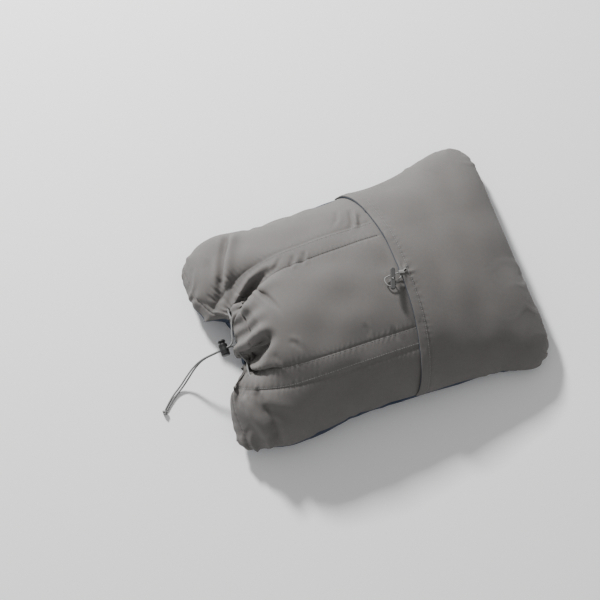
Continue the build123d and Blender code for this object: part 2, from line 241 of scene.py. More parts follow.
def normals_of(P):
    """Normals out of the pillow, shared where the two sheets meet."""
    n = np.cross(*differences(P))
    n[1] *= -1
    for edge in EDGES:
        both = n[0][edge] + n[1][edge]
        n[0][edge] = both
        n[1][edge] = both
    return unit(n)


def volume(P):
    """Volume between the two sheets."""
    total = 0.0
    for k, sign in ((0, 1), (1, -1)):
        a, b, c, d = P[k, :-1, :-1], P[k, 1:, :-1], P[k, 1:, 1:], P[k, :-1, 1:]
        e, f = c - a, d - b
        area = (e[..., 0] * f[..., 1] - e[..., 1] * f[..., 0]) / 2
        total += sign * (area * (a + b + c + d)[..., 2] / 4).sum()
    return total


def finer(P):
    """The same sheets with half-size cells, by cubic interpolation."""
    for axis in (1, 2):
        Q = np.moveaxis(P, axis, 0)
        out = np.zeros((2 * len(Q) - 1,) + Q.shape[1:])
        out[::2] = Q
        around = np.concatenate([2 * Q[:1] - Q[1:2], Q, 2 * Q[-1:] - Q[-2:-1]])
        out[1::2] = (-around[:-3] + 9 * around[1:-2] + 9 * around[2:-1] - around[3:]) / 16
        P = np.moveaxis(out, 0, axis)
    return P


def behind_cord(P):
    """How far each point between the cord's exits must move to stay behind the drawn cord."""
    limit = CORD_X + CORD_LEAN * np.maximum(P[..., 2] - CORD_Z, 0)
    return np.maximum(limit - P[..., 0], 0) * bell(P[..., 1] - CORD_Y, 0.040, 8)


def settle(P, stride, steps, start, end, squash, damp):
    """Lets the filled case settle while the cinch's pull goes from start to end."""
    flat = full_flat[::stride, ::stride]
    rest0 = rest_lengths(flat)
    rest = {key: np.repeat(value[None], 2, axis=0) for key, value in rest0.items()}
    speed = np.zeros_like(P)
    pins = [(k, i // stride, j // stride, np.array(at)) for k, i, j, at in PINS]
    begun = [P[k, i, j].copy() for k, i, j, at in pins]
    tuck = np.zeros(P.shape[:-1])
    tuck[0] = seam_tuck(flat)
    right = ease(flat[..., 0] / 0.2)[None]
    for step in range(steps):
        done = ease((step + 1) / (steps * 0.7))
        share = start + (end - start) * done
        along, across = draw_in(flat, share)
        rest["u"] = rest0["u"] * along
        rest["v"][:] = rest0["v"] * across
        push = np.clip(PRESSURE * (VOLUME / max(volume(P), 1e-5) - 1), -MAX_PUSH, MAX_PUSH)
        head = 1 - HEAD * (P[..., 2:] - MIDDLE_Z)
        old = P.copy()
        P = P + speed * damp + normals_of(P) * (push * head - share * tuck[..., None])
        P[..., 2] -= WEIGHT
        P[..., 1] -= CENTRING * right * P[:, -1, :, 1].mean()
        for _ in range(PASSES):
            pull_all(P, rest, squash)
            sew_edges(P)
            P[..., 2] = np.maximum(P[..., 2], 0.0)
            P[..., 0] += share * behind_cord(P)
            for (k, i, j, at), first in zip(pins, begun if share else ()):
                P[k, i, j] = first + (at - first) * (done if end > start else 1)
                if i == 0:
                    P[1 - k, i, j] = P[k, i, j]
        speed = P - old
        fast = np.linalg.norm(speed, axis=-1, keepdims=True)
        speed *= np.minimum(1, MAX_SPEED / np.maximum(fast, 1e-9))
    return P


def make_case():
    """The filled and cinched case, on the whole grid."""
    stride = STAGES[0][0]
    flat = full_flat[::stride, ::stride]
    s, t = flat[..., 0] / HALF_L, flat[..., 1] / HALF_W
    dome = START_DOME * np.maximum(1 - s**4, 0) * np.maximum(1 - t**4, 0)
    P = np.zeros((2,) + flat.shape[:2] + (3,))
    P[..., :2] = flat
    P[0, ..., 2] = START_Z + dome
    P[1, ..., 2] = START_Z - dome
    for stage in STAGES:
        if stage[0] < stride:
            P = finer(P)
        stride = stage[0]
        P = settle(P, *stage)
    return P


def stretch_ends(P):
    """Eases the filled shape's pocket end, its two lobes and the upper one's far side outwards."""
    x, y = P[..., 0], P[..., 1]
    right = (0.0095 + 0.035 * y) * ease((x - 0.06) / 0.15)
    lobe = ease((np.abs(y - CORD_Y) - 0.036) / 0.022)
    reach = 0.012 - 0.010 * ease((-0.09 - y) / 0.05) - 0.006 * ease((y - 0.02) / 0.05)
    left = 0.20 * np.maximum(-0.195 - x, 0) * ease((np.abs(y) - 0.075) / 0.02)
    left -= reach * lobe * ease((-0.15 - x) / 0.06)
    bulge = 0.011 * bell(x + 0.176, 0.042) * ease((y - 0.06) / 0.07)
    P[..., 0] = x + right + left
    P[..., 1] = y + bulge
    return P


def meet_toggle(P):
    """Raises or lowers the crown round the toggle, so that the cloth passes under its stem's tack."""
    away = np.hypot(P[0, ..., 0] - TOGGLE[0], P[0, ..., 1] - TOGGLE[1])
    near = bell(away, 0.004)
    height = (P[0, ..., 2] * near).sum() / near.sum()
    P[0, ..., 2] += (CLOTH_Z_AT_TOGGLE - height) * bell(away, 0.07)
    return P


# --- Folds that the gathered end and the mouth leave in the back ---

# Each fold: its height, half-width, the side of the raised lip beside a valley, how it fades in and out
# along its length, and its line in plan.
BIG_FOLDS = [
    (0.006, 0.008, 0, (0.2, 0.35),
     [(-0.133, 0.156), (-0.157, 0.113), (-0.165, 0.0915), (-0.176, 0.067), (-0.185, 0.049)]),
    (-0.007, 0.0055, 0, (0.1, 0.3),
     [(-0.147, 0.156), (-0.167, 0.113), (-0.175, 0.0915), (-0.185, 0.07), (-0.192, 0.054)]),
    (-0.015, 0.0085, 1, (0.0, 0.6), [(-0.184, -0.036), (-0.17, -0.0405), (-0.152, -0.037), (-0.132, -0.03)]),
    (-0.0105, 0.0052, 1, (0.1, 0.8),
     [(-0.178, 0.027), (-0.157, 0.0425), (-0.137, 0.056), (-0.117, 0.062), (-0.088, 0.0595)]),
    (0.0045, 0.009, 0, (0.1, 0.5),
     [(-0.176, 0.008), (-0.158, 0.024), (-0.137, 0.04), (-0.115, 0.045), (-0.092, 0.043)]),
    (0.005, 0.007, 0, (0.1, 0.2), [(-0.2, -0.085), (-0.199, -0.112), (-0.191, -0.1385), (-0.191, -0.17)]),
    (-0.0045, 0.006, 0, (0.1, 0.2),
     [(-0.188, -0.085), (-0.186, -0.112), (-0.178, -0.1385), (-0.178, -0.165)]),
    (-0.0022, 0.007, 1, (0.2, 0.6), [(-0.19, -0.112), (-0.17, -0.128), (-0.139, -0.15)]),
    (-0.003, 0.007, -1, (0.0, 0.7), [(-0.181, 0.012), (-0.165, 0.011), (-0.13, 0.018)]),
    (-0.0022, 0.007, -1, (0.0, 0.7), [(-0.182, -0.006), (-0.165, -0.011), (-0.13, -0.008)]),
    (-0.0018, 0.006, 1, (0.2, 0.4), [(-0.186, 0.128), (-0.193, 0.095), (-0.198, 0.061)]),
]
SMALL_FOLDS = [
    (-0.0012, 0.002, 0, (0.0, 0.1), [(-0.225, 0.0844), (-0.208, 0.0615), (-0.191, 0.044), (-0.184, 0.026)]),
    (-0.0016, 0.0032, 1, (0.3, 0.3), [(-0.0723, 0.0748), (-0.077, 0.064), (-0.087, 0.0546)]),
    (-0.0015, 0.003, 1, (0.3, 0.3), [(-0.056, 0.075), (-0.06, 0.064), (-0.069, 0.053)]),
    (-0.0012, 0.003, -1, (0.3, 0.3), [(-0.09, 0.078), (-0.097, 0.068), (-0.108, 0.06)]),
    (-0.0007, 0.0034, 1, (0.4, 0.4), [(-0.018, -0.056), (-0.015, -0.068), (-0.0165, -0.079)]),
    (-0.001, 0.0034, 1, (0.4, 0.4), [(0.018, -0.07), (0.02, -0.083), (0.0225, -0.096)]),
    (-0.0019, 0.0036, 1, (0.2, 0.5), [(0.031, 0.1206), (0.0237, 0.094), (0.0111, 0.0792)]),
    (-0.0017, 0.0032, -1, (0.2, 0.5), [(0.0402, 0.107), (0.035, 0.09), (0.03, 0.076)]),
    (-0.0012, 0.0034, 1, (0.2, 0.5), [(0.012, 0.124), (0.006, 0.108), (-0.006, 0.096)]),
    (-0.0012, 0.0036, 1, (0.3, 0.5), [(-0.124, -0.047), (-0.114, -0.056), (-0.109, -0.07)]),
    (-0.001, 0.0036, -1, (0.3, 0.5), [(-0.148, -0.056), (-0.143, -0.068), (-0.144, -0.08)]),
]


def run_along(line):
    """Length along a line of points, at each of them."""
    return np.concatenate([[0], np.cumsum(np.linalg.norm(np.diff(line, axis=0), axis=1))])


def fold_height(at, folds):
    """Height of the folds at these points, seen in plan."""
    total = np.zeros(at.shape[:-1])
    for height, width, lip, (fade_in, fade_out), line in folds:
        line = np.array(line)
        steps = np.linalg.norm(np.diff(line, axis=0), axis=1)
        begun = run_along(line)
        nearest = np.full(total.shape, 1e9)
        beside, along = np.zeros_like(total), np.zeros_like(total)
        for a, b, first, step in zip(line, line[1:], begun, steps):
            way = (b - a) / step
            off = at[..., :2] - a
            t = np.clip(off @ way, 0, step)
            side = way[0] * off[..., 1] - way[1] * off[..., 0]
            away = np.linalg.norm(off - t[..., None] * way, axis=-1)
            closer = away < nearest
            nearest = np.where(closer, away, nearest)
            beside = np.where(closer, np.sign(side) * away, beside)
            along = np.where(closer, (first + t) / begun[-1], along)
        strength = ease((along + 0.02) / (fade_in + 0.02)) * ease((1.02 - along) / (fade_out + 0.02))
        shape = bell(nearest, width)
        if lip:
            shape = shape - 0.55 * bell(beside - lip * 1.8 * width, width)
        total += height * strength * shape
    return total


# --- The pocket sheet ---

MOUTH_PIN = (0.0545, -0.0075, 0.1156)
POCKET_SLACK = 1.008
POCKET_STEPS, POCKET_PASSES, POCKET_SQUASH, POCKET_DAMP = 140, 8, 0.8, 0.85
POCKET_WEIGHT, POCKET_SPEED = 0.00002, 0.002
POCKET_AT_SEAM, POCKET_CLEAR, MOUTH_CLEAR = 0.00115, 0.0022, 0.0027


def pocket_clearance(columns, rows):
    """Least height of the pocket's outer face over the case's, on a grid of the pocket's cells."""
    i, j = np.arange(columns)[:, None] / (columns - 1), np.arange(rows)[None] / (rows - 1)
    inside = np.minimum(np.minimum(j, 1 - j) * 2.0, (1 - i) * 1.0)
    clear = POCKET_AT_SEAM + (POCKET_CLEAR - POCKET_AT_SEAM) * ease(inside / 0.08)
    return clear + (MOUTH_CLEAR - POCKET_CLEAR) * ease(1 - i / 0.3) * ease(inside / 0.08)


def make_pocket(case):
    """The pocket's sheet, sewn into the case's edge on three sides and lying over its back."""
    under = case[0, MOUTH:]
    n = normals_of(case)[0, MOUTH:]
    flat = full_flat[MOUTH:]
    rest = {key: value[None] * POCKET_SLACK for key, value in rest_lengths(flat).items()}
    clear = pocket_clearance(*under.shape[:2])[..., None]
    Q = (under + n * (clear + 0.001))[None]
    speed = np.zeros_like(Q)
    for _ in range(POCKET_STEPS):
        old = Q.copy()
        Q = Q + speed * POCKET_DAMP
        Q[..., 2] -= POCKET_WEIGHT
        for _ in range(POCKET_PASSES):
            pull_all(Q, rest, POCKET_SQUASH)
            off = ((Q[0] - under) * n).sum(-1, keepdims=True)
            Q[0] += n * np.maximum(clear - off, 0)
            for edge in EDGES[1:]:
                Q[0][edge] = (under + n * POCKET_AT_SEAM)[edge]
            Q[0, 0, CENTRE_ROW] = MOUTH_PIN
        speed = np.clip(Q - old, -POCKET_SPEED, POCKET_SPEED)
    return Q


# --- Small detail on the finest grid ---

def waves(u, v, seed, count, shortest, longest):
    """A smooth random field of about unit size, made of sine waves."""
    rng = np.random.default_rng(seed)
    total = np.zeros_like(u)
    for _ in range(count):
        turn, phase = rng.uniform(0, 2 * math.pi, 2)
        length = rng.uniform(shortest, longest)
        total += np.sin(2 * math.pi * (u * math.cos(turn) + v * math.sin(turn)) / length + phase)
    return total / math.sqrt(count / 2)


def edge_distance(u, v):
    """Flat distance to the nearest edge of the cut, and the place along that edge."""
    to_end, to_side = HALF_L - np.abs(u), HALF_W - np.abs(v)
    return np.minimum(to_end, to_side), np.where(to_end < to_side, v, u)


def edge_puckers(u, v):
    """Small folds that start at the case's edge seam, uneven along it."""
    away, along = edge_distance(u, v)
    strength = 0.5 + 0.5 * waves(along, 0 * along, 5, 9, 0.06, 0.16)
    bend = 0.004 * waves(u, v, 6, 8, 0.03, 0.08)
    fine = np.sin(2 * math.pi * (along + bend) / 0.0135)
    broad = np.sin(2 * math.pi * (along + 2 * bend) / 0.034)
    out = np.clip(strength, 0.1, 1.4)
    return out * (0.00032 * fine * np.exp(-away / 0.007) + 0.0015 * broad * np.exp(-away / 0.026))


def back_detail(flat, at):
    """Height of the sewn and gathered detail over the back's smooth shape."""
    u, v = flat[..., 0], flat[..., 1]
    sewn = u > CINCH_U - 0.0025
    d = 0.0007 * waves(u, v, 11, 16, 0.05, 0.11)
    wander = 0.0016 * waves(u, v, 13, 8, 0.02, 0.05)
    for k, c in enumerate(SEAM_VS[1:-1]):
        off = np.abs(v - c)
        cinched = np.exp(-np.maximum(u - CINCH_U - 0.002, 0) / 0.045)
        groove = 0.0008 * bell(off, 0.0016) + (0.0002 + 0.0008 * cinched) * bell(off, 0.006)
        pucker = 0.00030 * np.sin(2 * math.pi * (u + wander) / 0.0072) * bell(off - 0.004, 0.0035)
        inner = 1.0 if k in (1, 2) else 0.55
        ruffle = 0.0013 * inner * np.sin(2 * math.pi * (u + 1.4 * wander) / 0.0098 + k)
        ruffle = ruffle * bell(off, 0.012) * cinched
        d += sewn * (ruffle * (1 - 0.7 * bell(off, 0.0016)) + pucker - groove)
    d += fold_height(at, SMALL_FOLDS)
    gusset = np.abs(u - gusset_seam(v))
    ripple = 0.00025 * np.sin(2 * math.pi * (v + wander) / 0.0075) * bell(gusset, 0.005)
    d -= 0.0011 * bell(gusset, 0.0015) - ripple
    away, _ = edge_distance(u, v)
    near_toggle = bell(np.hypot(at[..., 0] - TOGGLE[0], at[..., 1] - TOGGLE[1]), 0.018, 4)
    from_mouth = u - mouth_line(v)
    d *= 1 - ease((from_mouth - 0.004) / 0.012)
    return (d * ease(away / 0.012) + edge_puckers(u, v) - 0.0008 * bell(away, 0.0015)) * (1 - near_toggle)


def front_detail(flat):
    """Height of the lumps and seam folds over the front panel's smooth shape."""
    u, v = flat[..., 0], flat[..., 1]
    away, _ = edge_distance(u, v)
    d = 0.0005 * waves(u, v, 21, 16, 0.05, 0.11) * ease(away / 0.02)
    return d + edge_puckers(u, v) - 0.0008 * bell(away, 0.0015)


def pocket_detail(flat, at):
    """Height of the folds over the pocket's smooth shape: at its seam, its tack and its hem."""
    u, v = flat[..., 0], flat[..., 1]
    away, _ = edge_distance(u, v)
    d = 0.0006 * waves(u, v, 31, 14, 0.045, 0.11) * ease(away / 0.03)
    from_mouth = u - mouth_line(v)
    wander = 0.002 * waves(u, v, 32, 8, 0.02, 0.05)
    d += 0.00022 * np.sin(2 * math.pi * (v + wander) / 0.0082) * bell(from_mouth - HEM, 0.005)
    d -= 0.0005 * bell(from_mouth - HEM + 0.0012, 0.0012)
    x, y = at[..., 0] - MOUTH_TACK[0], at[..., 1] - MOUTH_TACK[1]
    r, turn = np.hypot(x, y), np.arctan2(y, x)
    d += 0.0007 * np.cos(7 * turn + 0.6) * bell(r - 0.010, 0.008) * ease(r / 0.006)
    return d * ease(away / 0.006)


# --- Meshes ---

CLOTH_SHARP, ROUND_SHARP = 48, 80  # degrees between faces that stay smooth, the second on cords and wire
THREAD_LIFT = 0.00012
TACK_PITCH = 0.00048  # between a bar tack's threads


def link(obj):
    bpy.context.scene.collection.objects.link(obj)
    return obj


def grid_faces(at):
    """Quads over a grid of point numbers."""
    return np.stack([at[:-1, :-1], at[1:, :-1], at[1:, 1:], at[:-1, 1:]], -1).reshape(-1, 4)


def mesh_piece(name, points, faces, material, body="pillow", flat=None, painted_shade=None,
               sharp=CLOTH_SHARP):
    """A smooth mesh with flat coordinates and painted shade for its material, riding on a body unless that is
    None.
    """
    mesh = bpy.data.meshes.new(name)
    mesh.from_pydata(points.tolist(), [], faces)
    mesh.polygons.foreach_set("use_smooth", [True] * len(mesh.polygons))
    mesh.set_sharp_from_angle(angle=math.radians(sharp))
    flat = np.zeros((len(points), 3)) if flat is None else flat
    painted_shade = np.zeros(len(points)) if painted_shade is None else painted_shade
    # the painted shade is stored beside the flat coordinates, for the cloth's colour
    layers = (("flat", "FLOAT_VECTOR", "vector", flat), ("painted_shade", "FLOAT", "value", painted_shade))
    for key, kind, field, values in layers:
        layer = mesh.attributes.new(key, kind, "POINT")
        layer.data.foreach_set(field, np.asarray(values, dtype=np.float32).ravel())
    mesh.materials.append(material)
    mesh.update()
    obj = link(bpy.data.objects.new(name, mesh))
    if body:
        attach(obj, body)
    return obj


def round_piece(name, node, parts, material, body="pillow"):
    """A piece of cord or wire from its points, faces and flat coordinates, in place of a CAD node."""
    points, faces, flat = parts
    piece = mesh_piece(name, points, faces, material, body=body, flat=flat, sharp=ROUND_SHARP)
    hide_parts(node)
    return piece


def shell(name, node, outer, inner, flat, painted_shade, material, flip=False):
    """A closed piece of cloth between two grids of points, in place of a CAD node."""
    columns, rows = outer.shape[:2]
    n = columns * rows
    at = np.arange(n).reshape(columns, rows)
    face = grid_faces(at)
    loop = np.concatenate([at[:, 0], at[-1, 1:], at[-2::-1, -1], at[0, -2:0:-1]])
    after = np.roll(loop, -1)
    rim = np.stack([after, loop, loop + n, after + n], -1)
    faces = np.concatenate([face, face[:, ::-1] + n, rim])
    if flip:
        faces = faces[:, ::-1]
    points = np.concatenate([outer.reshape(-1, 3), inner.reshape(-1, 3)])
    uv = np.zeros((n, 3))
    uv[:, :2] = flat.reshape(-1, 2)
    piece = mesh_piece(name, points, faces.tolist(), material, flat=np.concatenate([uv, uv]),
                       painted_shade=np.concatenate([painted_shade.ravel(), painted_shade.ravel()]))
    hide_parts(node)
    return piece


def between(values, lengths, at):
    """Values at places between these lengths along a line."""
    return np.stack([np.interp(at, lengths, values[:, k]) for k in range(3)], -1)


def resampled(line, step):
    """Points evenly spaced along a line of points."""
    line = np.asarray(line, float)
    lengths = run_along(line)
    count = max(int(round(lengths[-1] / step)), 2)
    return between(line, lengths, np.linspace(0, lengths[-1], count + 1))


def frames_along(line):
    """Two directions across a line at each of its points, turning as little as possible."""
    tangent = unit(np.gradient(line, axis=0))
    side = np.zeros_like(tangent)
    first = np.cross(tangent[0], (0, 0, 1))
    if np.linalg.norm(first) < 0.1:
        first = np.cross(tangent[0], (1, 0, 0))
    side[0] = first / np.linalg.norm(first)
    for k in range(1, len(line)):
        s = side[k - 1] - tangent[k] * (side[k - 1] @ tangent[k])
        side[k] = s / np.linalg.norm(s)
    return side, np.cross(tangent, side)


def tube_parts(line, radius, sides, braid=0.0, closed=False):
    """Points, faces and flat coordinates of a round or braided tube along a line."""
    side, up = frames_along(line)
    if closed:
        side[0], up[0] = side[-1], up[-1]
    count = len(line)
    turn = 2 * math.pi * np.arange(sides) / sides
    steps = run_along(line)
    r = np.full((count, sides), radius)
    if braid:
        pitch = 2 * math.pi * steps[:, None] / (radius * 3.4)
        ridge = np.maximum(np.cos(4 * turn + pitch), np.cos(4 * turn - pitch))
        r = radius * (1 + braid * (ridge - 1))
    if not closed:
        r[0] *= 0.6
        r[-1] *= 0.6
    across = side[:, None] * np.cos(turn)[None, :, None] + up[:, None] * np.sin(turn)[None, :, None]
    ring = line[:, None] + r[..., None] * across
    at = np.arange(count * sides).reshape(count, sides)
    nxt = np.roll(at, -1, axis=1)
    faces = np.stack([at[:-1], nxt[:-1], nxt[1:], at[1:]], -1).reshape(-1, 4).tolist()
    if closed:
        faces += np.stack([at[-1], nxt[-1], nxt[0], at[0]], -1).tolist()
    else:
        faces += [at[0][::-1].tolist(), at[-1].tolist()]
    flat = np.zeros((count, sides, 3))
    flat[..., 0] = steps[:, None]
    flat[..., 1] = turn * radius
    return ring.reshape(-1, 3), faces, flat.reshape(-1, 3)


def joined(parts):
    """Several (points, faces, flat) as one."""
    points, faces, flats, start = [], [], [], 0
    for p, f, uv in parts:
        points.append(p)
        flats.append(uv)
        faces += [[i + start for i in face] for face in f]
        start += len(p)
    return np.concatenate(points), faces, np.concatenate(flats)


def thread_parts(ends, radius, lift):
    """Short round threads, one between each pair of points, arched a little along their normals."""
    profile = [(0.0, 0.35), (0.1, 0.85), (0.3, 1.0), (0.7, 1.0), (0.9, 0.85), (1.0, 0.35)]
    parts = []
    for a, b, n in ends:
        line = [a + (b - a) * t + n * lift * 4 * t * (1 - t) for t, _ in profile]
        across = unit(np.cross(b - a, n))
        rise = unit(np.cross(across, b - a))
        points = []
        for p, (_, share) in zip(line, profile):
            for k in range(6):
                turn = math.pi / 3 * k
                points.append(p + radius * share * (across * math.cos(turn) + rise * math.sin(turn)))
        at = np.arange(36).reshape(6, 6)
        nxt = np.roll(at, -1, axis=1)
        faces = np.stack([at[:-1], at[1:], nxt[1:], nxt[:-1]], -1).reshape(-1, 4).tolist()
        faces += [at[0].tolist(), at[-1][::-1].tolist()]
        parts.append((np.array(points), faces, np.zeros((36, 3))))
    return parts


def thread_piece(name, ends, radius, lift, material):
    """One piece of threads between these pairs of points."""
    points, faces, _ = joined(thread_parts(ends, radius, lift))
    return mesh_piece(name, points, faces, material, sharp=ROUND_SHARP)


def stitches(name, line, normal, pitch, length, radius, material):
    """A run of stitches that lie along a line of points on the cloth."""
    lengths = run_along(line)
    starts = np.arange(pitch / 2, lengths[-1] - pitch, pitch)
    a, b = between(line, lengths, starts), between(line, lengths, starts + length)
    n = unit(between(normal, lengths, starts + length / 2))
    return thread_piece(name, zip(a, b, n), radius, THREAD_LIFT, material)


def bar_tack(name, node, centre, along, up, size, material, round_shape=False):
    """A dense pad of stitches across a bar, or across a disc, in place of a CAD node."""
    length, width, depth = size
    along, up = unit(np.asarray(along, float)), unit(np.asarray(up, float))
    across = unit(np.cross(up, along))
    centre = np.asarray(centre, float)
    ends = []
    count = int(length / TACK_PITCH)
    for k in range(count + 1):
        x = (k - count / 2) * TACK_PITCH
        half = width / 2
        if round_shape:
            half = math.sqrt(max((length / 2) ** 2 - x * x, 0.0005**2)) * 0.98
        half *= 0.96 if k % 2 else 1.0
        p = centre + along * x
        ends.append((p - across * half, p + across * half, up))
    piece = thread_piece(name, ends, depth / 2, depth * 0.12, material)
    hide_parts(node)
    return piece


def nurbs_line(points):
    """Points along the smooth line that has these as its control points."""
    curve = bpy.data.curves.new("route", "CURVE")
    curve.dimensions = "3D"
    spline = curve.splines.new("NURBS")
    spline.points.add(len(points) - 1)
    for p, at in zip(spline.points, points):
        p.co = (*at, 1)
    spline.order_u = 3
    spline.use_endpoint_u = True
    spline.resolution_u = 24
    holder = link(bpy.data.objects.new("route", curve))
    bpy.context.view_layer.update()
    mesh = bpy.data.meshes.new_from_object(holder.evaluated_get(bpy.context.evaluated_depsgraph_get()))
    line = np.array([v.co for v in mesh.vertices], float)
    bpy.data.objects.remove(holder)
    bpy.data.curves.remove(curve)
    bpy.data.meshes.remove(mesh)
    return line


def overhand_parts(centre, radii, cord_r, turn_deg=0.0):
    """A cord tied in an overhand knot that fills an ellipsoid."""
    t = np.linspace(0, 2 * math.pi, 73)[:-1]
    x = (np.sin(t) + 2 * np.sin(2 * t)) / 3
    y = (np.cos(t) - 2 * np.cos(2 * t)) / 3
    z = -np.sin(3 * t)
    half = [max(r - cord_r, 0.0002) for r in radii]
    turn = math.radians(turn_deg)
    px, py = x * half[0], y * half[1]
    line = np.stack([px * math.cos(turn) - py * math.sin(turn), px * math.sin(turn) + py * math.cos(turn),
                     z * half[2]], -1) + np.asarray(centre)
    return tube_parts(line, cord_r, 14, 0.06, closed=True)


# --- Materials ---

class Nodes:
    """Short calls for building a node tree."""

    def __init__(self, name):
        self.material = bpy.data.materials.new(name)
        self.material.use_nodes = True
        self.tree = self.material.node_tree
        self.shader = self.tree.nodes["Principled BSDF"]

    def add(self, kind, settings=None, **inputs):
        node = self.tree.nodes.new(kind)
        for key, value in (settings or {}).items():
            setattr(node, key, value)
        for key, value in inputs.items():
            self.set(node, key.replace("_", " "), value)
        return node

    def put(self, socket, value):
        if isinstance(value, bpy.types.NodeSocket):
            self.tree.links.new(value, socket)
        else:
            socket.default_value = value

    def set(self, node, socket, value):
        self.put(node.inputs[socket], value)

    def shade(self, socket, value):
        self.put(self.shader.inputs[socket], value)

    def math(self, operation, a, b, clamp=False):
        node = self.tree.nodes.new("ShaderNodeMath")
        node.operation = operation
        node.use_clamp = clamp
        for socket, value in zip(node.inputs, (a, b)):
            self.put(socket, value)
        return node.outputs[0]

    def graded(self, level, share, base):
        """A level times a share, over a base."""
        return self.math("ADD", self.math("MULTIPLY", level, share), base)

    def around(self, level, share):
        """A noise's swing either side of its middle, times a share."""
        return self.math("MULTIPLY", self.math("SUBTRACT", level, 0.5), share)

    def place(self):
        return self.add("ShaderNodeTexCoord").outputs["Object"]

    def stored(self, name, output):
        return self.add("ShaderNodeAttribute", {"attribute_name": name}).outputs[output]

    def scaled(self, vector, scale):
        node = self.add("ShaderNodeMapping", Vector=vector, Scale=scale)
        return node.outputs["Vector"]

    def noise(self, vector, scale, detail=2.0, roughness=0.5):
        node = self.add("ShaderNodeTexNoise", Vector=vector, Scale=scale, Detail=detail, Roughness=roughness)
        return node.outputs["Fac"]

    def bump(self, height, distance, normal=None, strength=1.0):
        node = self.add("ShaderNodeBump", Height=height, Distance=distance, Strength=strength)
        if normal is not None:
            self.set(node, "Normal", normal)
        return node.outputs["Normal"]

    def blend(self, factor, a, b):
        node = self.tree.nodes.new("ShaderNodeMix")
        node.data_type = "RGBA"
        self.put(node.inputs[0], factor)
        self.put(node.inputs[6], (*a, 1))
        self.put(node.inputs[7], (*b, 1))
        return node.outputs[2]


def cloth_material(name, dark, light, thread, weave_depth, fuzz, sheen, variation=0.5):
    """Woven cloth: threads both ways, uneven yarn, a brushed fuzz, and painted shade that darkens its folds
    and lightens its ridges.
    """
    n = Nodes(name)
    flat = n.stored("flat", "Vector")
    # painted shade stored on the mesh: darker in folds, lighter on ridges
    painted_shade = n.stored("painted_shade", "Fac")
    place = n.place()
    period = 0.3142 / thread  # of a wave texture at scale 1, over the thread's
    threads = []
    for way in "XY":
        bands = {"wave_type": "BANDS", "bands_direction": way}
        wave = n.add("ShaderNodeTexWave", bands, Vector=flat, Scale=period, Distortion=0.6, Detail=1.0)
        threads.append(wave.outputs["Fac"])
    weave = n.math("MAXIMUM", *threads)
    yarn_u = n.noise(n.scaled(flat, (90, 2200, 1)), 1.0)
    yarn_v = n.noise(n.scaled(flat, (2200, 90, 1)), 1.0)
    yarn = n.math("MULTIPLY", n.math("ADD", yarn_u, yarn_v), 0.5)
    patch = n.noise(place, 16.0, 4.0, 0.55)
    hair = n.noise(place, 1500.0, 3.0, 0.7)
    level = n.math("ADD", n.around(yarn, 1.1 * variation), n.around(patch, 0.5 * variation))
    level = n.math("ADD", level, n.around(hair, 0.5 * variation))
    # painted shade darkens the colour in folds and lightens it on ridges
    level = n.math("ADD", level, n.math("MULTIPLY", painted_shade, 0.45))
    level = n.math("ADD", level, 0.5, clamp=True)
    n.shade("Base Color", n.blend(level, dark, light))
    n.shade("Roughness", n.graded(hair, 0.12, 0.82))
    n.shade("Sheen Weight", sheen)
    n.shade("Sheen Roughness", 0.45)
    n.shade("Specular IOR Level", 0.25)
    normal = n.bump(weave, weave_depth)
    normal = n.bump(yarn, weave_depth * 1.2, normal)
    n.shade("Normal", n.bump(hair, fuzz, normal))
    return n.material


def cord_material(name, dark, light, sheen=0.2):
    """Braided cord: fine yarns that cross over the braid's ridges."""
    n = Nodes(name)
    flat = n.stored("flat", "Vector")
    place = n.place()
    fibre = n.noise(n.scaled(flat, (900, 4200, 1)), 1.0)
    hair = n.noise(place, 3200.0, 2.0, 0.6)
    level = n.math("ADD", n.math("MULTIPLY", fibre, 0.8), n.math("MULTIPLY", hair, 0.5))
    level = n.math("SUBTRACT", level, 0.15, clamp=True)
    n.shade("Base Color", n.blend(level, dark, light))
    n.shade("Roughness", n.graded(fibre, 0.15, 0.62))
    n.shade("Sheen Weight", sheen)
    n.shade("Normal", n.bump(fibre, 0.00009, n.bump(hair, 0.00005)))
    return n.material


def plastic_material(name, dark, light, roughness, grain):
    """Moulded plastic with a fine spark-eroded grain and faint handling marks."""
    n = Nodes(name)
    place = n.place()
    speck = n.noise(place, grain, 2.0, 0.6)
    cloud = n.noise(place, 90.0, 3.0)
    rubbed = n.noise(n.scaled(place, (400, 60, 900)), 1.0, 3.0, 0.7)
    level = n.math("ADD", n.math("MULTIPLY", cloud, 0.6), n.math("MULTIPLY", speck, 0.4), clamp=True)
    n.shade("Base Color", n.blend(level, dark, light))
    n.shade("Roughness", n.graded(rubbed, 0.22, roughness - 0.11))
    n.shade("Normal", n.bump(speck, 0.00004, n.bump(rubbed, 0.00002), 0.8))
    return n.material


def steel_material():
    """Drawn spring wire."""
    n = Nodes("spring_wire")
    place = n.place()
    drawn = n.noise(n.scaled(place, (300, 4000, 300)), 1.0, 3.0)
    n.shade("Metallic", 1.0)
    n.shade("Base Color", n.blend(drawn, (0.42, 0.42, 0.43), (0.66, 0.66, 0.66)))
    n.shade("Roughness", n.graded(drawn, 0.2, 0.22))
    return n.material


def foam_material():
    """Shredded open-cell foam."""
    n = Nodes("shredded_foam")
    place = n.place()
    cells = n.add("ShaderNodeTexVoronoi", Vector=place, Scale=900.0).outputs["Distance"]
    shred = n.noise(place, 60.0, 4.0, 0.6)
    n.shade("Base Color", n.blend(shred, (0.66, 0.62, 0.50), (0.84, 0.81, 0.70)))
    n.shade("Roughness", n.graded(cells, 0.2, 0.8))
    n.shade("Normal", n.bump(cells, 0.0004, n.bump(shred, 0.002)))
    return n.material


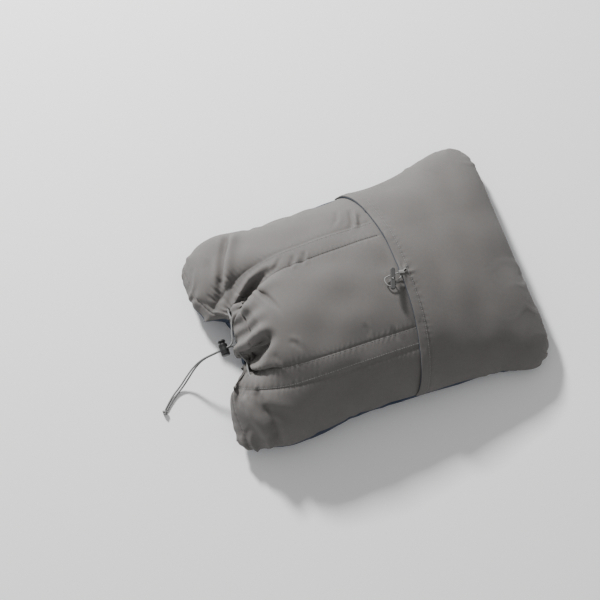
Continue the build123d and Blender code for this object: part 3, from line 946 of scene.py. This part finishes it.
grey = cloth_material("grey_polyester", (0.104, 0.098, 0.094), (0.177, 0.168, 0.161),
                      0.00075, 0.00008, 0.00010, 0.05, 0.85)
blue = cloth_material("blue_jersey", (0.009, 0.017, 0.034), (0.026, 0.041, 0.075),
                      0.0010, 0.00010, 0.00012, 0.06)
binding_blue = cloth_material("blue_binding", (0.031, 0.040, 0.056), (0.060, 0.074, 0.098),
                              0.0006, 0.00008, 0.00004, 0.05)
tape_grey = cloth_material("casing_tape", (0.090, 0.086, 0.083), (0.158, 0.154, 0.150),
                           0.0008, 0.00012, 0.00004, 0.05)
cord_grey = cord_material("draw_cord", (0.098, 0.098, 0.098), (0.270, 0.270, 0.266))
loop_grey = cord_material("loop_cord", (0.120, 0.120, 0.118), (0.300, 0.300, 0.292))
thread_light = cord_material("light_thread", (0.150, 0.148, 0.143), (0.300, 0.296, 0.289), 0.1)
thread_grey = cord_material("grey_thread", (0.105, 0.101, 0.098), (0.225, 0.217, 0.210), 0.1)
toggle_grey = plastic_material("toggle_grey", (0.033, 0.032, 0.032), (0.054, 0.053, 0.052), 0.50, 2600.0)
lock_black = plastic_material("lock_black", (0.006, 0.006, 0.007), (0.015, 0.015, 0.016), 0.46, 2600.0)
spring_steel = steel_material()
foam_cream = foam_material()


def finish_node(node, material):
    """Gives a CAD node that stays its material."""
    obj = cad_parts[node]
    obj.data.materials.clear()
    obj.data.materials.append(material)


# --- Camera, floor and light ---

CAMERA_TARGET = Vector((-0.0801, 0.0239, 0.0477))
CAMERA_AWAY, CAMERA_LENS, SENSOR = 1.526, 64, 36
CAMERA_AZIMUTH, CAMERA_ELEVATION = math.radians(-20), math.radians(70)
KEY_AT, KEY_AIM, KEY_POWER, KEY_SIZE = Vector((-0.50, 2.54, 1.52)), Vector((0, 0, 0.05)), 187, 0.34
WORLD_STRENGTH = 0.48
FLOOR_HALF, FLOOR_Z = 4, -0.0002


def make_camera():
    data = bpy.data.cameras.new("camera")
    data.lens = CAMERA_LENS
    data.sensor_width = SENSOR
    cam = link(bpy.data.objects.new("camera", data))
    flat_way = math.cos(CAMERA_ELEVATION)
    back = Vector((math.sin(CAMERA_AZIMUTH) * flat_way, -math.cos(CAMERA_AZIMUTH) * flat_way,
                   math.sin(CAMERA_ELEVATION)))
    right = Vector((math.cos(CAMERA_AZIMUTH), math.sin(CAMERA_AZIMUTH), 0))
    up = back.cross(right)
    axes = Matrix((right, up, back)).transposed().to_4x4()
    cam.matrix_world = Matrix.Translation(CAMERA_TARGET + back * CAMERA_AWAY) @ axes
    bpy.context.scene.camera = cam


def make_key_light():
    """A soft light from beyond the pillow's far side, aimed at its middle."""
    data = bpy.data.lights.new("key", "AREA")
    data.energy = KEY_POWER
    data.size = KEY_SIZE
    lamp = link(bpy.data.objects.new("key", data))
    lamp.location = KEY_AT
    lamp.rotation_euler = (KEY_AIM - KEY_AT).to_track_quat("-Z", "Y").to_euler()


def make_studio():
    """A wide pale floor and white surroundings."""
    n = Nodes("studio_floor")
    place = n.place()
    n.shade("Base Color", n.blend(n.noise(place, 3.0, 3.0), (0.97, 0.97, 0.97), (0.98, 0.98, 0.98)))
    n.shade("Roughness", 0.9)
    mesh = bpy.data.meshes.new("floor")
    corners = [(x * FLOOR_HALF, y * FLOOR_HALF, 0) for x, y in ((-1, -1), (1, -1), (1, 1), (-1, 1))]
    mesh.from_pydata(corners, [], [(0, 1, 2, 3)])
    mesh.materials.append(n.material)
    floor = link(bpy.data.objects.new("floor", mesh))
    floor.location.z = FLOOR_Z
    world = bpy.data.worlds.new("studio")
    world.use_nodes = True
    background = world.node_tree.nodes["Background"]
    background.inputs["Color"].default_value = (1, 1, 1, 1)
    background.inputs["Strength"].default_value = WORLD_STRENGTH
    bpy.context.scene.world = world


make_camera()
make_studio()
make_key_light()

# --- Cords: the free strands, from their exits through the lock to the knot ---

CORD_D = 0.0025
UPPER_ROUTE = [
    (-0.1825, 0.0240, 0.0640), (-0.1875, 0.0090, 0.0630), (-0.1910, -0.0065, 0.0618),
    (-0.19616, -0.0110, 0.06013), (-0.20283, -0.0110, 0.05770), (-0.21965, -0.0110, 0.05158),
    (-0.23892, -0.0110, 0.04456), (-0.2540, -0.0135, 0.0310), (-0.2670, -0.0180, 0.0145),
    (-0.2810, -0.0265, 0.0036), (-0.2980, -0.0370, 0.0013), (-0.3120, -0.0520, 0.0013),
]
LOWER_ROUTE = [
    (-0.1825, -0.0420, 0.0640), (-0.1875, -0.0290, 0.0620), (-0.1900, -0.0155, 0.0592),
    (-0.19517, -0.0110, 0.05740), (-0.20183, -0.0110, 0.05497), (-0.21870, -0.0110, 0.04884),
    (-0.23792, -0.0110, 0.04184), (-0.2525, -0.0150, 0.0285), (-0.2645, -0.0205, 0.0130),
    (-0.2790, -0.0295, 0.0030), (-0.2960, -0.0395, 0.0013), (-0.3094, -0.0534, 0.0013),
]
KNOT_AT, KNOT_RADII, KNOT_TURN = (-0.3130, -0.0555, 0.0034), (0.0044, 0.0036, 0.0034), -40.0


def make_strands():
    """Both braided strands and the knot that ties their ends."""
    knot = overhand_parts(KNOT_AT, KNOT_RADII, CORD_D / 2, KNOT_TURN)
    knot = round_piece("cord_knot", "end_knot", knot, cord_grey)
    for side, route, length in (("upper", UPPER_ROUTE, 0.185), ("lower", LOWER_ROUTE, 0.1786)):
        line = resampled(nurbs_line(route), 0.0004)
        tube = tube_parts(line, CORD_D / 2, 16, 0.07)
        piece = round_piece(f"{side}_free_cord", f"{side}_strand", tube, cord_grey)


make_strands()

# --- The case ---

full_flat = flat_cut()
coarse_case = meet_toggle(stretch_ends(make_case()))
coarse_case[0] += normals_of(coarse_case)[0] * fold_height(coarse_case[0], BIG_FOLDS)[..., None]
sew_edges(coarse_case)
coarse_pocket = make_pocket(coarse_case)
case = finer(coarse_case)
sew_edges(case)
case_flat = finer(full_flat[None])[0]
case_normals = normals_of(case)
F = 2  # cells of the finest grid in one of the solver's
# painted shade: how strongly bends and small folds darken or lighten the cloth's colour
BEND_SHADE, FOLD_SHADE = 0.25, 150  # how strongly the cloth's bend and its small folds change its tone


def painted_shade_of(P, n, height):
    """Painted shade: lighter on ridges and darker in folds, from how the cloth bends and its small detail."""
    bend = np.zeros(P.shape[:2])
    for k in (2, 4):
        around = (np.roll(P, k, 0) + np.roll(P, -k, 0) + np.roll(P, k, 1) + np.roll(P, -k, 1)) / 4 - P
        bend -= (around * n).sum(-1) / (0.0006 * k)
    bend[:4] = bend[-4:] = 0
    bend[:, :4] = bend[:, -4:] = 0
    return np.clip(BEND_SHADE * bend + FOLD_SHADE * np.minimum(height, 0), -0.8, 0.5)


back_height = back_detail(case_flat, case[0])
back_outer = case[0] + case_normals[0] * back_height[..., None]
front_height = front_detail(case_flat)
front_outer = case[1] + case_normals[1] * front_height[..., None]
for edge in EDGES:
    front_outer[edge] = back_outer[edge]
back_outer[..., 2] = np.maximum(back_outer[..., 2], 0.0004)
front_outer[..., 2] = np.maximum(front_outer[..., 2], 0.0)
both_normals = normals_of(np.stack([back_outer, front_outer]))
back_inner = back_outer - both_normals[0] * CLOTH
front_inner = front_outer - both_normals[1] * CLOTH
for inner in (back_inner, front_inner):
    inner[..., 2] = np.maximum(inner[..., 2], 0.0002)
# painted shade for the back and front cloth: darker in folds, lighter on ridges
back_painted_shade = painted_shade_of(case[0], case_normals[0], back_height)
front_painted_shade = painted_shade_of(case[1], case_normals[1], front_height)


def cloth_panel(name, node, columns, rows, grids, material, flip=False):
    """A panel of the case over these cells."""
    outer, inner, painted_shade = grids
    part = tuple(slice(first * F, last * F + 1) for first, last in (columns, rows))
    piece = shell(name, node, outer[part], inner[part], case_flat[part], painted_shade[part], material, flip)


FOAM_PASSES = 16
FOAM_INSET, FOAM_UNDER_CHANNEL = 0.0055, 0.0045
FOAM_CINCHED = 0.16  # share that the fill is drawn towards the middle at the cinch
FOAM_MIDDLE = np.array((0.0, -0.009, 0.05))
FOAM_FLOOR = 0.0018


def make_foam():
    """The foam fill inside the cloth, smoother than it, and lower under the channels and at the cinch."""
    P = coarse_case.copy()
    for _ in range(FOAM_PASSES):
        P[:, 1:-1, 1:-1] = (P[:, 2:, 1:-1] + P[:, :-2, 1:-1] + P[:, 1:-1, 2:] + P[:, 1:-1, :-2]) / 4
        for edge in EDGES[:2]:
            P[:, edge[0], 1:-1] = (P[:, edge[0], 2:] + P[:, edge[0], :-2]) / 2
        for edge in EDGES[2:]:
            P[:, 1:-1, edge[1]] = (P[:, 2:, edge[1]] + P[:, :-2, edge[1]]) / 2
    n = normals_of(P)
    v = full_flat[..., 1]
    channel = bell(v - UPPER_CHANNEL, 0.0155, 6) + bell(v - LOWER_CHANNEL, 0.0155, 6)
    below = np.minimum(((coarse_case - P) * n).sum(-1), 0)
    below[0] -= FOAM_UNDER_CHANNEL * channel
    Q = P + n * (below - FOAM_INSET)[..., None]
    near_cinch = bell(np.minimum(Q[..., 0] + 0.25, 0.2), 0.075) * bell(Q[..., 1] + 0.009, 0.09, 4)
    Q += (FOAM_MIDDLE - Q) * (FOAM_CINCHED * near_cinch)[..., None]
    Q[..., 2] = np.maximum(Q[..., 2], FOAM_FLOOR)
    columns, rows = P.shape[1:3]
    top = np.arange(columns * rows).reshape(columns, rows)
    under = top + columns * rows
    for edge in EDGES:
        under[edge] = top[edge]
    faces = np.concatenate([grid_faces(top), grid_faces(under)[:, ::-1]])
    used, renamed = np.unique(faces, return_inverse=True)
    points = Q.reshape(-1, 3)[used]
    piece = mesh_piece("foam_core", points, renamed.reshape(-1, 4).tolist(), foam_cream)
    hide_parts("foam_fill")
    return piece


foam = make_foam()
back = (back_outer, back_inner, back_painted_shade)
front = (front_outer, front_inner, front_painted_shade)
PANELS = [
    ("gusset_cloth", "end_gusset", (0, GUSSET), (J[0], J[5])),
    ("lower_back_cloth", "lower_back_panel", (GUSSET, LAST), (J[0], J[1])),
    ("lower_channel_cloth", "lower_channel_strip", (GUSSET, LAST), (J[1], J[2])),
    ("middle_cloth", "middle_panel", (GUSSET, LAST), (J[2], J[3])),
    ("upper_channel_cloth", "upper_channel_strip", (GUSSET, LAST), (J[3], J[4])),
    ("upper_back_cloth", "upper_back_panel", (GUSSET, LAST), (J[4], J[5])),
]
for name, node, columns, rows in PANELS:
    cloth_panel(name, node, columns, rows, back, grey)
cloth_panel("front_cloth", "front_panel", (0, LAST), (J[0], J[5]), front, blue, flip=True)

TAPE_DEPTHS = (0.0062, 0.0068)  # of its two faces under the cloth's
RUN_DEPTH = 0.0034
TAPE_ENDS, RUN_START, RUN_END = 8, 4, 14  # cells between their ends and the gusset's seam or the pocket end


def make_channel(side, rows, exit_at):
    """The hidden tape behind a channel, the cord that runs in it and the tack that holds the cord's end."""
    P, n = coarse_case[0], normals_of(coarse_case)[0]
    part = (slice(GUSSET + TAPE_ENDS, LAST - TAPE_ENDS), slice(rows[0], rows[1] + 1))
    outer, inner = [(P - n * depth)[part] for depth in TAPE_DEPTHS]
    tape = shell(f"{side}_tape", f"{side}_channel_tape", outer, inner, full_flat[part],
                 np.zeros(outer.shape[:2]), tape_grey)
    middle = (rows[0] + rows[1]) // 2
    line = (P - n * RUN_DEPTH)[GUSSET + RUN_START:LAST - RUN_END:2, middle][::-1]
    line = np.concatenate([line, [exit_at]])
    for _ in range(6):
        line[1:-1] = (line[:-2] + 2 * line[1:-1] + line[2:]) / 4
    tube = tube_parts(resampled(line, 0.0015), CORD_D / 2, 12)
    round_piece(f"{side}_channel_cord", f"{side}_cord_run", tube, cord_grey)
    away = unit(line[0] - line[2])
    bar_tack(f"{side}_anchor_tack", f"{side}_cord_tack", line[0] + away * 0.005, away,
             n[LAST - RUN_END, middle], (0.010, 0.007, 0.0022), thread_light)


make_channel("upper", (J[3], J[4]), UPPER_ROUTE[0])
make_channel("lower", (J[1], J[2]), LOWER_ROUTE[0])

# --- The stuff pocket ---

HEM_RISE, HEM_EDGE_RISE, HEM_SEAM_RISE = 0.0008, 0.0005, 0.00035
BINDING_REACH = (-0.0006, -0.0003, 0.0, 0.002, 0.004, 0.006)  # of its rows inside the mouth's edge
BINDING_DEPTH, BINDING_ROLL, BINDING_CLOTH = 0.0012, 0.0002, 0.0006
pocket = finer(coarse_pocket)[0]
pocket_flat = case_flat[MOUTH * F:]
under_outer = back_outer[MOUTH * F:]
under_normals = case_normals[0, MOUTH * F:]
clear = pocket_clearance(*pocket.shape[:2])[..., None]
over = ((pocket - under_outer) * under_normals).sum(-1, keepdims=True)
pocket += under_normals * np.maximum(clear - over, 0)
for edge in EDGES[1:]:
    pocket[edge] = (under_outer + under_normals * POCKET_AT_SEAM)[edge]
pocket_normals = unit(np.cross(*differences(pocket[None])))[0]
pocket_height = pocket_detail(pocket_flat, pocket)
pocket_outer = pocket + pocket_normals * pocket_height[..., None]
hem_cells = (HEM_END - MOUTH) * F
# painted shade for the pocket cloth: darker in folds, lighter on ridges
pocket_painted_shade = painted_shade_of(pocket, pocket_normals, pocket_height)


def make_pocket_pieces():
    """The pocket's panel, the doubled hem at its mouth, its stitching and the binding under its edge."""
    inner = pocket_outer - pocket_normals * CLOTH
    part = slice(hem_cells, None)
    panel = shell("pocket_cloth", "pocket_panel", pocket_outer[part], inner[part], pocket_flat[part],
                  pocket_painted_shade[part], grey)
    rise = np.full((hem_cells + 1, 1, 1), HEM_RISE)
    rise[-1] = HEM_SEAM_RISE
    rise[0] = HEM_EDGE_RISE
    part = slice(0, hem_cells + 1)
    over = pocket_outer[part] + pocket_normals[part] * rise
    hem = shell("hem_cloth", "pocket_hem", over, inner[part], pocket_flat[part], pocket_painted_shade[part], grey)
    to_inside = unit(pocket_outer[2] - pocket_outer[0])
    strip = []
    for reach in BINDING_REACH:
        low = BINDING_DEPTH + BINDING_ROLL * (reach == BINDING_REACH[0])
        strip.append(pocket_outer[0] + to_inside * reach - pocket_normals[0] * low)
    strip = np.stack(strip)[:, 6:-6]
    drop = pocket_normals[0][None, 6:-6] * BINDING_CLOTH
    flat = np.repeat(pocket_flat[:1, 6:-6], len(BINDING_REACH), axis=0)
    flat[..., 0] += np.array(BINDING_REACH)[:, None]
    binding = shell("mouth_binding", "hem_binding", strip, strip - drop, flat, np.zeros(strip.shape[:2]),
                    binding_blue)
    row = hem_cells - 1
    line = over[row, 3:-3] + pocket_normals[row, 3:-3] * 0.00012
    seam = stitches("hem_stitches", line, pocket_normals[row, 3:-3], 0.0034, 0.0024, 0.00030, thread_light)
    return over


hem_over = make_pocket_pieces()

# --- Seam stitching ---

STITCH = {"pitch": 0.0034, "length": 0.0023, "radius": 0.00026}
SEAMS = [  # name, row, side of the row that the stitches lie on, thread
    ("lower_outer_stitches", J[1], 1, thread_light),
    ("lower_inner_stitches", J[2], -1, thread_grey),
    ("upper_inner_stitches", J[3], 1, thread_grey),
    ("upper_outer_stitches", J[4], -1, thread_grey),
]
for name, row, side, thread in SEAMS:
    part = (slice(GUSSET * F + 2, MOUTH * F + 8), row * F + side)
    normal = both_normals[0][part]
    stitches(name, back_outer[part] + normal * 0.0001, normal, material=thread, **STITCH)

# --- Toggle, loop and tacks ---

TOGGLE_TACK_Z, STEM_FOOT, STEM_TOP, STEM_KNOT_Z = 0.1083, 0.1088, 0.1215, 0.12205
HEM_Z = 0.117  # about the hem's height at its tack
LOOP_D, LOOP_Z, LOOP_TURN = 0.0018, 0.11305, math.radians(20)
LOOP_OFFSETS = [(0.0175, 0.0017), (0.002, 0.0082), (-0.0086, 0.0094), (-0.0104, -0.0046), (0.002, -0.0070),
                (0.0175, -0.0017)]


def make_closure():
    """The toggle's cord and tack, and the loop that hooks round it from the pocket's mouth."""
    x, y = TOGGLE
    bar_tack("toggle_tack", "stem_tack", (x, y, TOGGLE_TACK_Z), (0.3, 1, 0), (0, 0, 1),
             (0.0098, 0.0098, 0.0009), thread_grey, round_shape=True)
    stem_line = resampled([(x, y, STEM_FOOT), (x, y, STEM_TOP)], 0.0003)
    stem = tube_parts(stem_line, 0.001, 14, 0.08)
    knot = overhand_parts((x, y, STEM_KNOT_Z), (0.0019, 0.0019, 0.00105), 0.00066)
    round_piece("toggle_cord", "toggle_stem", joined([stem, knot]), loop_grey)
    c, s = math.cos(LOOP_TURN), math.sin(LOOP_TURN)
    route = [(x + dx * c - dy * s, y + dx * s + dy * c, LOOP_Z) for dx, dy in LOOP_OFFSETS]
    line = resampled(nurbs_line(route), 0.0003)
    loop = tube_parts(line, LOOP_D / 2, 14, 0.08)
    loop = round_piece("mouth_loop", "closure_loop", loop, loop_grey)
    low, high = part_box("loop_tack")
    middle = (low + high) / 2
    under = bar_tack("loop_end_tack", "loop_tack", middle, (c, s, 0), (0, 0, 1), (0.0078, 0.0056, 0.0019),
                     thread_grey)
    away = np.linalg.norm(hem_over - np.array((*MOUTH_TACK, HEM_Z)), axis=-1)
    i, j = np.unravel_index(np.argmin(away), away.shape)
    at = hem_over[i, j] + pocket_normals[i, j] * 0.0003
    across_hem = hem_over[min(i + 2, hem_cells), j] - hem_over[i - 2, j]
    bar_tack("mouth_tack", "hem_tack", at, across_hem, pocket_normals[i, j], (0.0080, 0.0050, 0.0010),
             thread_light)


make_closure()

# --- The cord lock ---

SPRING_TURNS, SPRING_WIRE = 4, 0.0006


def make_spring():
    """The lock's coil spring, which shortens as the plunger is pressed."""
    low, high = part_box("lock_spring")
    middle = (low + high) / 2
    turn = np.linspace(0, 2 * math.pi * SPRING_TURNS, 32 * SPRING_TURNS + 1)
    radius = (high[0] - low[0]) / 2 - SPRING_WIRE / 2
    rise = np.linspace(low[1] + SPRING_WIRE / 2, high[1] - SPRING_WIRE / 2, len(turn))
    line = np.stack([middle[0] + radius * np.cos(turn), rise, middle[2] + radius * np.sin(turn)], -1)
    coil = tube_parts(line, SPRING_WIRE / 2, 10)
    spring = round_piece("coil_spring", "lock_spring", coil, spring_steel, body=None)
    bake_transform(spring)


make_spring()
finish_node("toggle_bar", toggle_grey)
finish_node("lock_body", lock_black)
finish_node("lock_plunger", lock_black)
